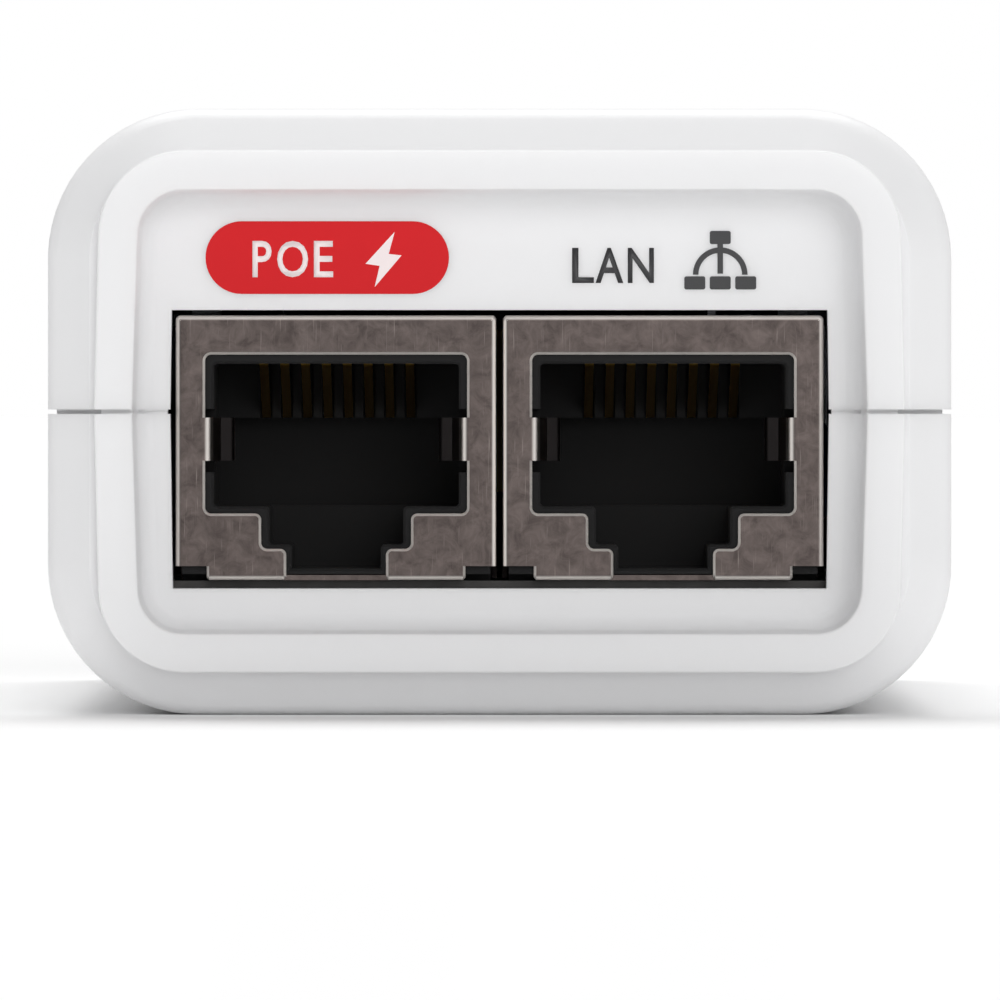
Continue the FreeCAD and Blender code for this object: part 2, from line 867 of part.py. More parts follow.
def jack_insert(tails):
    """Plastic insert moulded round the contacts' tails, behind the housing."""
    front = socket_face + insert_back + insert_clearance
    back = shield_back - shield_metal - housing_clearance
    high = board_top + shield_height - shield_metal - housing_clearance
    block = box(-insert_half_width, insert_half_width, front, back, board_top, high)
    return block.cut(tails)


def sockets(pieces):
    """Both network sockets; the right one is the left one moved across."""
    xs = contact_x()
    arms = [contact_arm(x) for x in xs]
    tails = [contact_tail(x, i % 2) for i, x in enumerate(xs)]
    shapes = {
        "jack_shield": [jack_shield()],
        "jack_housing": [jack_housing()],
        "jack_insert": [jack_insert(tails)],
        "contact_arms": arms,
        "contact_tails": tails,
    }
    for name, side in (("left", -1), ("right", 1)):
        for part, solids in shapes.items():
            pieces[name + "_" + part] = moved(solids, side * socket_x, 0)
        for i, x in enumerate(xs):
            y = socket_face + contact_tail_back + (i % 2) * contact_row_step
            drillings.append((side * socket_x + x, y, contact_width / 2 + hole_clearance))
        for end in (-1, 1):
            post = side * socket_x + end * housing_post_spread
            drill_y = socket_face + housing_post_back
            pegs.append((post, drill_y, housing_post_radius + hole_clearance))
            leg = side * socket_x + end * (shield_width - shield_metal) / 2
            leg_y = socket_face + shield_leg_back
            drillings.append((leg, leg_y, shield_leg_width / 2 + hole_clearance))


# ---------------------------------------------------------------- mains inlet and lamp
def inlet_pins_at():
    """The three pins' positions, (x, z)."""
    return (
        (-inlet_line_spread, inlet_z + inlet_line_raise),
        (inlet_line_spread, inlet_z + inlet_line_raise),
        (0.0, inlet_z - inlet_earth_drop),
    )


def inlet_housing():
    """Plastic body of the three-pin inlet, with its cloverleaf hollow facing back."""
    face = -panel_face
    block = prism(inlet_outline(0, inlet_back), Vector(0, inlet_depth, 0))
    wide = inlet_width / 2 + inlet_flange
    flange_back = -panel_back - inlet_flange_thickness
    top = board_top + inlet_height + inlet_flange
    flange = box(-wide, wide, flange_back, -panel_back, board_top, top)
    floor = face - inlet_cavity_depth
    lobes = []
    for x, z in inlet_pins_at():
        lobes.append(rod(inlet_lobe_radius, Vector(x, floor, z), Vector(x, face + 1, z)))
    ring = [Vector(x, floor, z) for x, z in inlet_pins_at()]
    middle = prism(Part.makePolygon(ring + ring[:1]), Vector(0, inlet_cavity_depth + 1, 0))
    hollow = fuse(lobes + [middle])
    creases = [e for e in hollow.Edges if near(e.Length, inlet_cavity_depth + 1)]
    hollow = hollow.makeFillet(inlet_corner_radius / 2, creases)
    body = fuse([block, flange]).cut(hollow)
    rim = edges_where(body, lambda p: near(p.y, face))
    body = body.makeFillet(inlet_mouth_round, rim)
    reach = inlet_line_spread + 2 * inlet_pin_radius
    pocket = box(
        -reach,
        reach,
        inlet_back - 1,
        inlet_back + inlet_back_pocket,
        board_top,
        inlet_z + inlet_line_raise + 2 * inlet_pin_radius,
    )
    holes = [
        rod(inlet_pin_radius, Vector(x, inlet_back, z), Vector(x, floor + 1, z))
        for x, z in inlet_pins_at()
    ]
    return body.cut([pocket] + holes)


def inlet_pins():
    """Three round pins, each with a leg down through the board."""
    floor = -panel_face - inlet_cavity_depth
    leg_y = inlet_back + inlet_back_pocket / 2
    pins = []
    for x, z in inlet_pins_at():
        start = Vector(x, inlet_back + inlet_pin_round / 2, z)
        tip = Vector(x, floor + inlet_pin_length, z)
        pin = rod(inlet_pin_radius, start, tip)
        pin = pin.makeFillet(
            inlet_pin_round, edges_where(pin, lambda p: near(p.y, tip.y))
        )
        pins.append(fuse([pin, lead(x, leg_y, inlet_leg_radius, z)]))
    return pins


def lamp_pipe():
    """Clear light pipe through the rear panel, with a stop flange behind it."""
    tip = Vector(lamp_x, -panel_face + lamp_proud, lamp_z)
    root = Vector(lamp_x, -panel_back - lamp_pipe_length, lamp_z)
    pipe = rod(lamp_radius, root, tip)
    pipe = pipe.makeFillet(lamp_proud, edges_where(pipe, lambda p: near(p.y, tip.y)))
    flange = rod(
        lamp_flange_radius,
        Vector(lamp_x, -panel_back - lamp_flange_thickness, lamp_z),
        Vector(lamp_x, -panel_back, lamp_z),
    )
    return fuse([pipe, flange])


def status_lamp():
    """Lamp lying behind the light pipe, its leads bent down to the board."""
    front = -panel_back - lamp_pipe_length - lamp_clearance
    back = front - lamp_body_length
    body = rod(lamp_radius, Vector(lamp_x, back, lamp_z), Vector(lamp_x, front, lamp_z))
    body = body.makeFillet(lamp_radius / 2, edges_where(body, lambda p: near(p.y, front)))
    pieces = [body]
    bend_y = back - lamp_lead_radius * 3
    for side in (-1, 1):
        x = lamp_x + side * lamp_lead_spread / 2
        top = Vector(x, bend_y, lamp_z)
        pieces.append(rod(lamp_lead_radius, top, Vector(x, back + 0.5, lamp_z)))
        pieces.append(Part.makeSphere(lamp_lead_radius, top))
        pieces.append(lead(x, bend_y, lamp_lead_radius, lamp_z))
    return fuse(pieces)


# ---------------------------------------------------------------- board and solder
def main_board():
    """The circuit board, drilled for every lead and post."""
    wide = board_half_width
    corners = [
        (wide, board_front, board_corner_radius),
        (wide, -board_front, board_corner_radius),
        (-wide, -board_front, board_corner_radius),
        (-wide, board_front, board_corner_radius),
    ]
    outline = rounded_loop(corners, lambda p: Vector(p.x, p.y, board_bottom))
    board = prism(outline, Vector(0, 0, board_thickness))
    holes = []
    for x, y, radius in drillings + pegs:
        holes.append(rod(radius, Vector(x, y, board_bottom - 1), Vector(x, y, board_top + 1)))
    return board.cut(holes)


def solder_joints():
    """A solder cone round every round lead, under the board."""
    joints = []
    for x, y, radius in soldered:
        base = Vector(x, y, board_bottom)
        wide = radius + hole_clearance + solder_spread
        cone = Part.makeCone(wide, radius, solder_height, base, Vector(0, 0, -1))
        below = Vector(x, y, board_bottom - solder_height - 1)
        joints.append(cone.cut(rod(radius, below, base + Vector(0, 0, 1))))
    return joints


def insulation_sheet():
    """Sheet on the lower shell's floor, under the leads."""
    x = board_half_width - ledge_overlap - sheet_clearance
    floor_half = inner_half_width - (case_corner_radius - case_wall)
    x = min(x, floor_half)
    y = -panel_back - sheet_clearance
    return box(-x, x, -y, y, case_wall, case_wall + sheet_thickness)


# ---------------------------------------------------------------- supply on the board
def can(x, y, radius, height):
    """Round can capacitor with two leads."""
    body = rod(radius, Vector(x, y, board_top), Vector(x, y, board_top + height))
    body = body.makeFillet(can_rim_round, edges_where(body, lambda p: p.z > board_top + 1))
    spread = radius / 2
    leads = [lead(x + side * spread, y, can_lead_radius) for side in (-1, 1)]
    return fuse([body] + leads)


def disc(x, y):
    """Coated disc component standing on two leads."""
    z = board_top + disc_stand + disc_radius
    y0, y1 = y - disc_thickness / 2, y + disc_thickness / 2
    body = rod(disc_radius, Vector(x, y0, z), Vector(x, y1, z))
    rims = edges_where(body, lambda p: near(p.y, y0) or near(p.y, y1))
    body = body.makeFillet(disc_thickness / 3, rims)
    spread = disc_radius * 0.42
    leads = [lead(x + side * spread, y, can_lead_radius, z) for side in (-1, 1)]
    return fuse([body] + leads)


def boxed(x, y, size, lead_places):
    """Box-shaped component on the board with leads at the given offsets."""
    wide, deep, high = size
    body = box(x - wide / 2, x + wide / 2, y - deep / 2, y + deep / 2, board_top, board_top + high)
    uprights = edges_where(body, lambda p: p.z > board_top + 1e-3)
    body = body.makeFillet(can_rim_round / 2, uprights)
    leads = [lead(x + a, y + b, can_lead_radius) for a, b in lead_places]
    return fuse([body] + leads)


def data_block(x):
    """Isolation magnetics for one socket's data pairs, on flat feet."""
    wide, deep, high = data_block_size
    body = box(
        x - wide / 2,
        x + wide / 2,
        signal_y - deep / 2 + data_foot,
        signal_y + deep / 2 - data_foot,
        board_top,
        board_top + high,
    )
    pieces = [body]
    foot = contact_thickness
    first = x - (data_lead_count - 1) / 2 * data_lead_pitch
    for i in range(data_lead_count):
        centre = first + i * data_lead_pitch
        x0, x1 = centre - contact_width / 2, centre + contact_width / 2
        y0, y1 = signal_y - deep / 2, signal_y + deep / 2
        pieces.append(box(x0, x1, y0, y1, board_top, board_top + foot))
    return fuse(pieces)


def drum_core():
    """Ferrite drum of the output inductor."""
    base = Vector(drum_x, output_y, board_top)
    waist = Part.makeCylinder(drum_waist_radius, drum_height, base)
    upper = base + Vector(0, 0, drum_height - drum_flange)
    flanges = [Part.makeCylinder(drum_radius, drum_flange, at) for at in (base, upper)]
    return fuse([waist] + flanges)


def drum_winding():
    """Copper winding between the drum's flanges."""
    base = Vector(drum_x, output_y, board_top + drum_flange)
    height = drum_height - 2 * drum_flange
    outer = Part.makeCylinder(drum_radius - can_rim_round, height, base)
    return outer.cut(Part.makeCylinder(drum_waist_radius, height, base))


def transformer():
    """Core, bobbin, winding, tape and pins."""
    low = board_top + transformer_stand
    high = low + core_height
    half_leg = core_thickness / 2
    window = core_width / 2 - core_leg
    y = power_y
    core = box(-core_width / 2, core_width / 2, y - half_leg, y + half_leg, low, high)
    for side in (-1, 1):
        x0, x1 = sorted((side * half_leg, side * window))
        core = core.cut(
            box(x0, x1, y - half_leg - 1, y + half_leg + 1, low + core_leg, high - core_leg)
        )
    inner = half_leg + bobbin_clearance / 2
    tube = inner + bobbin_wall
    flange = window - bobbin_clearance / 2
    z0, z1 = low + core_leg + bobbin_clearance / 2, high - core_leg - bobbin_clearance / 2
    reach = bobbin_half_length
    plates = [
        box(-flange, flange, y - reach, y + reach, z, z + bobbin_wall)
        for z in (z0, z1 - bobbin_wall)
    ]
    rails = []
    for side in (-1, 1):
        y0, y1 = sorted((y + side * reach, y + side * (reach - bobbin_rail)))
        rails.append(box(-flange, flange, y0, y1, board_top, z0))
    bobbin = fuse([box(-tube, tube, y - tube, y + tube, z0, z1)] + plates + rails)
    bobbin = bobbin.cut(box(-inner, inner, y - inner, y + inner, z0 - 1, z1 + 1))
    wound = tube + winding_thickness - tape_thickness
    lap = wound + tape_thickness
    w0, w1 = z0 + bobbin_wall, z1 - bobbin_wall
    core_space = box(-tube, tube, y - tube, y + tube, w0, w1)
    coil = box(-wound, wound, y - wound, y + wound, w0, w1)
    wrap = box(-lap, lap, y - lap, y + lap, w0, w1)
    pins = []
    for side in (-1, 1):
        for i in range(4):
            x = (i - 1.5) * transformer_pin_pitch
            pin_y = y + side * (reach - bobbin_rail / 2)
            pins.append(lead(x, pin_y, can_lead_radius, z0 - bobbin_wall))
    return {
        "transformer_core": [core],
        "transformer_bobbin": [bobbin.cut(pins)],
        "transformer_winding": [coil.cut(core_space)],
        "transformer_tape": [wrap.cut(coil)],
        "transformer_pins": pins,
    }


def package(side):
    """Three-leaded power package, its tab flat against its heat sink."""
    face = core_width / 2 + sink_clearance
    back = face + package_thickness
    low = board_top + package_stand
    top = low + package_height
    half = package_width / 2

    def across(a, b, y0, y1, z0, z1):
        x0, x1 = sorted((side * a, side * b))
        return box(x0, x1, power_y + y0, power_y + y1, z0, z1)

    tab = across(back - package_tab_thickness, back, -half, half, low, top + package_tab_height)
    body = fuse([across(face, back, -half, half, low, top), tab])
    bore = screw_radius + hole_clearance
    z = top + package_tab_height / 2
    body = body.cut(rod(bore, Vector(0, power_y, z), Vector(side * back * 2, power_y, z)))
    lead_x = side * (back - package_thickness / 2)
    leads = [
        lead(lead_x, power_y + i * package_lead_pitch, can_lead_radius, low + 1)
        for i in (-1, 0, 1)
    ]
    return fuse([body] + leads)


def fixing(side):
    """Heat sink plate for one package, and the screw and nut that clamp them."""
    tab_face = core_width / 2 + sink_clearance + package_thickness
    plate_back = tab_face + sink_thickness
    x0, x1 = sorted((side * tab_face, side * plate_back))
    y0, y1 = power_y - sink_length / 2, power_y + sink_length / 2
    z0 = board_top + package_stand / 4
    plate = box(x0, x1, y0, y1, z0, board_top + sink_height)
    z = board_top + package_stand + package_height + package_tab_height / 2
    outer = Vector(side * (plate_back + nut_height + screw_head_height / 4), power_y, z)
    seat = Vector(side * (tab_face - package_tab_thickness), power_y, z)
    bore = rod(screw_radius + hole_clearance, Vector(0, power_y, z), outer)
    feet = [
        lead(side * (tab_face + plate_back) / 2, power_y + k * sink_length / 3, 0.6, z0 + 1)
        for k in (-1, 1)
    ]
    sink = fuse([plate.cut(bore)] + feet)
    head_end = seat - Vector(side * screw_head_height, 0, 0)
    screw = fuse([rod(screw_radius, seat, outer), rod(screw_head_radius, head_end, seat)])
    socket = hexagon(screw_radius * 1.7, head_end, Vector(side * screw_socket, 0, 0))
    screw = screw.cut(socket)
    nut_start = Vector(side * plate_back, power_y, z)
    nut = hexagon(nut_across_flats, nut_start, Vector(side * nut_height, 0, 0))
    return sink, screw, nut.cut(rod(screw_radius, seat, outer))


def hexagon(across_flats, start, way):
    """Six-sided bar whose axis runs across the case."""
    radius = across_flats / math.sqrt(3)
    points = []
    for i in range(7):
        turn = math.radians(60 * i)
        points.append(start + Vector(0, radius * math.cos(turn), radius * math.sin(turn)))
    return prism(Part.makePolygon(points), way)


def line_choke():
    """Ring core standing on edge and its two windings."""
    reach = choke_outer_radius + choke_winding_thickness
    z = board_top + choke_stand + reach
    y = input_y + input_row_depth / 2 - choke_thickness / 2 - choke_winding_thickness
    here = Vector(film_x, y, z)

    def ring(outer, inner, half, turn, angle):
        start = Vector(0, 0, -half)
        up = Vector(0, 0, 1)
        shape = Part.makeCylinder(outer, 2 * half, start, up, angle)
        shape = shape.cut(Part.makeCylinder(inner, 2 * half, start))
        shape.rotate(Vector(0, 0, 0), up, turn)
        shape.rotate(Vector(0, 0, 0), Vector(1, 0, 0), 90)
        shape.translate(here)
        return shape

    half = choke_thickness / 2
    core = ring(choke_outer_radius, choke_inner_radius, half, 0, 360)
    windings = []
    for turn in (0, 180):
        sleeve = ring(
            reach,
            choke_inner_radius - choke_winding_thickness,
            half + choke_winding_thickness,
            turn - choke_winding_angle / 2,
            choke_winding_angle,
        )
        side = 1 if turn == 0 else -1
        leads = [
            lead(film_x + side * reach * 0.75, y + k * half, can_lead_radius, z)
            for k in (-1, 1)
        ]
        windings.append(fuse([sleeve] + leads).cut(core))
    return core, windings


def underside_chips():
    """Small parts soldered under the board, below the data blocks."""
    chips = []
    for i in range(6):
        for row in (-1, 1):
            x, y = (i - 2.5) * chip_pitch, signal_y + row * chip_pitch / 2
            chips.append(
                box(
                    x - chip_size[0] / 2,
                    x + chip_size[0] / 2,
                    y - chip_size[1] / 2,
                    y + chip_size[1] / 2,
                    board_bottom - chip_size[2],
                    board_bottom,
                )
            )
    return chips


def surge_suppressors():
    """Two flat suppressors under the board, one beside each data block."""
    wide, deep, high = suppressor_size
    return [
        box(
            side * suppressor_x - wide / 2,
            side * suppressor_x + wide / 2,
            signal_y - deep / 2,
            signal_y + deep / 2,
            board_bottom - high,
            board_bottom,
        )
        for side in (-1, 1)
    ]


def control_chip():
    """Eight-legged control chip under the board, below the transformer."""
    wide, deep, high = control_size
    low = board_bottom - high
    body = box(-wide / 2, wide / 2, power_y - deep / 2, power_y + deep / 2, low, board_bottom)
    pieces = [body]
    foot = contact_thickness
    for i in range(4):
        x = (i - 1.5) * data_lead_pitch
        x0, x1 = x - contact_width / 2, x + contact_width / 2
        y0, y1 = power_y - deep / 2 - data_foot, power_y + deep / 2 + data_foot
        pieces.append(box(x0, x1, y0, y1, board_bottom - foot, board_bottom))
    return fuse(pieces)


# ---------------------------------------------------------------- everything together
def supply(pieces):
    """The parts of the mains supply and the data path, standing on the board."""
    half_block = (data_block_size[0] + data_block_gap) / 2
    pieces["data_magnetics"] = [data_block(side * half_block) for side in (-1, 1)]
    pieces["output_capacitors"] = [
        can(x, output_y, output_can_radius, output_can_height) for x in output_can_x
    ]
    pieces["output_inductor_core"] = [drum_core()]
    pieces["output_inductor_winding"] = [drum_winding()]
    front = output_y - output_row_depth / 2
    back = output_y + output_row_depth / 2
    pieces["safety_capacitor"] = [disc(side_x, front + disc_thickness / 2)]
    wide, deep = optocoupler_size[:2]
    corners = [(a * wide / 2.6, b * deep / 3) for a in (-1, 1) for b in (-1, 1)]
    pieces["optocoupler"] = [boxed(side_x, back - deep / 2, optocoupler_size, corners)]
    pieces.update(transformer())
    pieces["switching_transistor"] = [package(-1)]
    pieces["output_rectifier"] = [package(1)]
    sinks, screws, nuts = zip(fixing(-1), fixing(1))
    pieces["primary_heat_sink"] = [sinks[0]]
    pieces["output_heat_sink"] = [sinks[1]]
    pieces["package_screws"] = list(screws)
    pieces["package_nuts"] = list(nuts)
    pieces["bulk_capacitor"] = [can(bulk_x, input_y, bulk_can_radius, bulk_can_height)]
    front = input_y - input_row_depth / 2
    back = input_y + input_row_depth / 2
    wide, deep = film_capacitor_size[:2]
    places = [(side * wide * 0.4, 0) for side in (-1, 1)]
    pieces["mains_film_capacitor"] = [
        boxed(film_x, front + deep / 2, film_capacitor_size, places)
    ]
    core, windings = line_choke()
    pieces["line_choke_core"] = [core]
    pieces["line_choke_windings"] = windings
    wide, deep = bridge_size[:2]
    corners = [(a * wide / 3, b * deep / 3) for a in (-1, 1) for b in (-1, 1)]
    pieces["bridge_rectifier"] = [boxed(bridge_x, front + deep / 2, bridge_size, corners)]
    pieces["varistor"] = [disc(bridge_x, back - disc_thickness / 2)]
    places = [(0, side * fuse_size[1] * 0.3) for side in (-1, 1)]
    fuse_y = inlet_back + 1 + fuse_size[1] / 2
    pieces["mains_fuse"] = [boxed(-beside_x, fuse_y, fuse_size, places)]
    pieces["thermistor"] = [disc(beside_x, inlet_back + disc_thickness / 2 + 0.4)]
    pieces["chip_components"] = underside_chips()
    pieces["surge_suppressors"] = surge_suppressors()
    pieces["control_chip"] = [control_chip()]


def build():
    """Every piece, by name."""
    pieces = {}
    upper, lower = case_shells()
    pieces["upper_shell"] = [upper]
    pieces["lower_shell"] = [lower]
    pieces["insulation_sheet"] = [insulation_sheet()]
    sockets(pieces)
    pieces["inlet_housing"] = [inlet_housing()]
    pieces["inlet_pins"] = inlet_pins()
    pieces["lamp_light_pipe"] = [lamp_pipe()]
    pieces["status_lamp"] = [status_lamp()]
    supply(pieces)
    pieces["main_board"] = [main_board()]
    pieces["solder_joints"] = solder_joints()
    return pieces


os.makedirs("parts", exist_ok=True)
for name, solids in build().items():
    shape = solids[0] if len(solids) == 1 else Part.makeCompound(solids)
    shape.exportStep(os.path.join("parts", name + ".step"))
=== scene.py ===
import json
import math

import bmesh
import bpy
from mathutils import Matrix, Vector


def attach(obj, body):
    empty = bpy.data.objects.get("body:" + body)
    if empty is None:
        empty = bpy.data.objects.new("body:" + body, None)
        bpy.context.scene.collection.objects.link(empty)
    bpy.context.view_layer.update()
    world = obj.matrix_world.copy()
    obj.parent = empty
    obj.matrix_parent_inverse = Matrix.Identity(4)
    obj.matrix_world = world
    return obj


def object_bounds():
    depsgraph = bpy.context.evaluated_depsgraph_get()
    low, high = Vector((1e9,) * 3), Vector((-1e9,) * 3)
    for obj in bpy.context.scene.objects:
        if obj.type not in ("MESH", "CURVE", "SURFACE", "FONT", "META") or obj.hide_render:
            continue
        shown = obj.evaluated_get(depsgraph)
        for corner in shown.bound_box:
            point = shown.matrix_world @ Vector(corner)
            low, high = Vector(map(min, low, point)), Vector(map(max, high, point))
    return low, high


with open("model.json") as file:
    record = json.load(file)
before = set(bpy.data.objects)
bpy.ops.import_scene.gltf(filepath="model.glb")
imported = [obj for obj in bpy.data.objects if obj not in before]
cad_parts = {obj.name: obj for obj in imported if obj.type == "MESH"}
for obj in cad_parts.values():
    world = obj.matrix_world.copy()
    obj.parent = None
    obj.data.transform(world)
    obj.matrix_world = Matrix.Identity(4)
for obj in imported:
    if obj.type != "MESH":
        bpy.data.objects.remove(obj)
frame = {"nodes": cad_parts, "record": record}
cad_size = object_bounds()
nodes = frame["nodes"]
subparts = frame["record"]["subparts"]

MM = 0.001                  # the frame is in metres


# ------------------------------------------------------------ materials
def tone(code):
    """A hex sRGB colour as linear red, green, blue, alpha."""
    parts = [int(code[i:i + 2], 16) / 255 for i in (0, 2, 4)]
    return tuple(p / 12.92 if p <= 0.04045 else ((p + 0.055) / 1.055) ** 2.4 for p in parts) + (1.0,)


def add(tree, kind, settings=None, links=None):
    """One shader node with its settings, which are its own attributes or its inputs by name or
    number, and with links, the outputs that feed its inputs."""
    made = tree.nodes.new(kind)
    for key, value in (settings or {}).items():
        if isinstance(key, str) and hasattr(made, key):
            setattr(made, key, value)
        else:
            made.inputs[key].default_value = value
    for key, source in (links or {}).items():
        tree.links.new(source, made.inputs[key])
    return made


def finish_of(name, base, roughness, metallic=0.0, ior=1.5, grain=0.0, grain_mm=0.2, mottle=0.0,
              mottle_mm=3.0, scratch=0.0, extra=None):
    """A plain surface. The base colour darkens in soft patches by mottle, the roughness varies by
    scratch, and a fine grain stands up by grain millimetres; extra sets more of its inputs."""
    material = bpy.data.materials.new(name)
    material.use_nodes = True
    tree = material.node_tree
    tree.nodes.clear()
    place = add(tree, "ShaderNodeTexCoord").outputs["Object"]
    broad = add(tree, "ShaderNodeTexNoise", {"Scale": 1 / (mottle_mm * MM), "Detail": 3.0},
                {"Vector": place}).outputs["Fac"]
    fine = add(tree, "ShaderNodeTexNoise", {"Scale": 1 / (grain_mm * MM), "Detail": 2.0},
               {"Vector": place}).outputs["Fac"]
    shade = add(tree, "ShaderNodeMapRange", {"To Min": 1 - mottle, "To Max": 1 + mottle * 0.4},
                {"Value": broad}).outputs["Result"]
    colour = add(tree, "ShaderNodeMix", {"data_type": "RGBA", "blend_type": "MULTIPLY", 0: 1.0,
                                         6: tone(base)}, {7: shade}).outputs[2]
    rough = add(tree, "ShaderNodeMapRange", {"To Min": roughness * (1 - scratch),
                                             "To Max": min(1.0, roughness * (1 + scratch))},
                {"Value": fine}).outputs["Result"]
    bump = add(tree, "ShaderNodeBump", {"Strength": 1.0, "Distance": grain * MM},
               {"Height": fine}).outputs["Normal"]
    surface = add(tree, "ShaderNodeBsdfPrincipled", {"Metallic": metallic, "IOR": ior},
                  {"Base Color": colour, "Roughness": rough, "Normal": bump})
    for key, value in (extra or {}).items():
        surface.inputs[key].default_value = value
    add(tree, "ShaderNodeOutputMaterial", links={"Surface": surface.outputs["BSDF"]})
    return material


def facing(tree, level_only=False):
    """How squarely a face looks along one of the part's own axes: 1 on a flat, less on a rounded
    edge. With level_only, how squarely it looks up or down."""
    normal = add(tree, "ShaderNodeTexCoord").outputs["Normal"]
    size = add(tree, "ShaderNodeVectorMath", {"operation": "ABSOLUTE"}, {0: normal}).outputs["Vector"]
    part = add(tree, "ShaderNodeSeparateXYZ", links={"Vector": size})
    if level_only:
        return part.outputs["Z"]
    wider = add(tree, "ShaderNodeMath", {"operation": "MAXIMUM"},
                {0: part.outputs["X"], 1: part.outputs["Y"]}).outputs[0]
    return add(tree, "ShaderNodeMath", {"operation": "MAXIMUM"},
               {0: wider, 1: part.outputs["Z"]}).outputs[0]


PAINTED_HIGHLIGHT_DEPTH = 0.6          # millimetres behind the metal's front in which rounded edges get a painted highlight; further in they get painted shade


def sheet_metal(front):
    """Dull nickel-plated sheet: brown blotches, fine scratches, a painted highlight on the rounded
    front edges, and painted shade on the rounded bends further in."""
    material = bpy.data.materials.new("nickel_plated_sheet")
    material.use_nodes = True
    tree = material.node_tree
    tree.nodes.clear()
    place = add(tree, "ShaderNodeTexCoord").outputs["Object"]
    blotches = add(tree, "ShaderNodeTexNoise", {"Scale": 1 / (0.9 * MM), "Detail": 8.0,
                                                "Roughness": 0.68, "Distortion": 0.6},
                   {"Vector": place}).outputs["Fac"]
    grain = add(tree, "ShaderNodeTexNoise", {"Scale": 1 / (0.12 * MM), "Detail": 3.0},
                {"Vector": place}).outputs["Fac"]
    along = add(tree, "ShaderNodeMapping", {"Rotation": (0.0, 0.9, 0.0),
                                            "Scale": (1 / (0.05 * MM), 1 / MM, 1 / (1.8 * MM))},
                {"Vector": place}).outputs["Vector"]
    streaks = add(tree, "ShaderNodeTexNoise", {"Scale": 1.0, "Detail": 2.0},
                  {"Vector": along}).outputs["Fac"]
    scratches = add(tree, "ShaderNodeMapRange", {"From Min": 0.66, "From Max": 0.78},
                    {"Value": streaks}).outputs["Result"]
    tint = add(tree, "ShaderNodeValToRGB", links={"Fac": blotches})
    tint.color_ramp.elements[0].position = 0.34
    tint.color_ramp.elements[0].color = tone("463f3d")
    tint.color_ramp.elements[1].position = 0.68
    tint.color_ramp.elements[1].color = tone("645b58")
    scored = add(tree, "ShaderNodeMix", {"data_type": "RGBA", 7: tone("7a716d")},
                 {0: scratches, 6: tint.outputs["Color"]}).outputs[2]
    # mask of rounded edges and bends, which get the painted highlight and painted shade below
    painted_edge_mask = add(tree, "ShaderNodeMapRange", {"From Min": 0.995, "From Max": 0.9},
                 {"Value": facing(tree)}).outputs["Result"]
    depth = add(tree, "ShaderNodeSeparateXYZ", links={"Vector": place}).outputs["Y"]
    within_highlight_depth = add(tree, "ShaderNodeMath", {"operation": "LESS_THAN", 1: front + PAINTED_HIGHLIGHT_DEPTH * MM},
                  {0: depth}).outputs[0]
    # painted highlight: near white on rounded edges near the front; painted shade: near black on those
    # further in
    painted_edge_light_and_shade = add(tree, "ShaderNodeMix", {"data_type": "RGBA", 6: tone("2f2c2c"), 7: tone("f2ece6")},
               {0: within_highlight_depth}).outputs[2]
    colour = add(tree, "ShaderNodeMix", {"data_type": "RGBA"},
                 {0: painted_edge_mask, 6: scored, 7: painted_edge_light_and_shade}).outputs[2]
    rough = add(tree, "ShaderNodeMapRange", {"To Min": 0.28, "To Max": 0.46},
                {"Value": blotches}).outputs["Result"]
    bump = add(tree, "ShaderNodeBump", {"Distance": 0.0015 * MM}, {"Height": grain}).outputs["Normal"]
    surface = add(tree, "ShaderNodeBsdfPrincipled", {"Metallic": 1.0},
                  {"Base Color": colour, "Roughness": rough, "Normal": bump})
    add(tree, "ShaderNodeOutputMaterial", links={"Surface": surface.outputs["BSDF"]})
    return material


def coated_board():
    """Glass-epoxy board: green lacquer on both faces, bare brown edges darkened to near black as
    painted shade.
    """
    material = bpy.data.materials.new("green_solder_mask")
    material.use_nodes = True
    tree = material.node_tree
    tree.nodes.clear()
    place = add(tree, "ShaderNodeTexCoord").outputs["Object"]
    weave = add(tree, "ShaderNodeTexNoise", {"Scale": 1 / (0.5 * MM), "Detail": 3.0},
                {"Vector": place}).outputs["Fac"]
    flat = add(tree, "ShaderNodeMapRange", {"From Min": 0.3, "From Max": 0.7},
               {"Value": facing(tree, level_only=True)}).outputs["Result"]
    # the edge's laminate brown is darkened to near black: painted shade
    colour = add(tree, "ShaderNodeMix", {"data_type": "RGBA", 6: tone("1a150f"), 7: tone("24452e")},
                 {0: flat}).outputs[2]
    rough = add(tree, "ShaderNodeMapRange", {"To Min": 0.35, "To Max": 0.55},
                {"Value": weave}).outputs["Result"]
    surface = add(tree, "ShaderNodeBsdfPrincipled", {"IOR": 1.55},
                  {"Base Color": colour, "Roughness": rough})
    add(tree, "ShaderNodeOutputMaterial", links={"Surface": surface.outputs["BSDF"]})
    return material


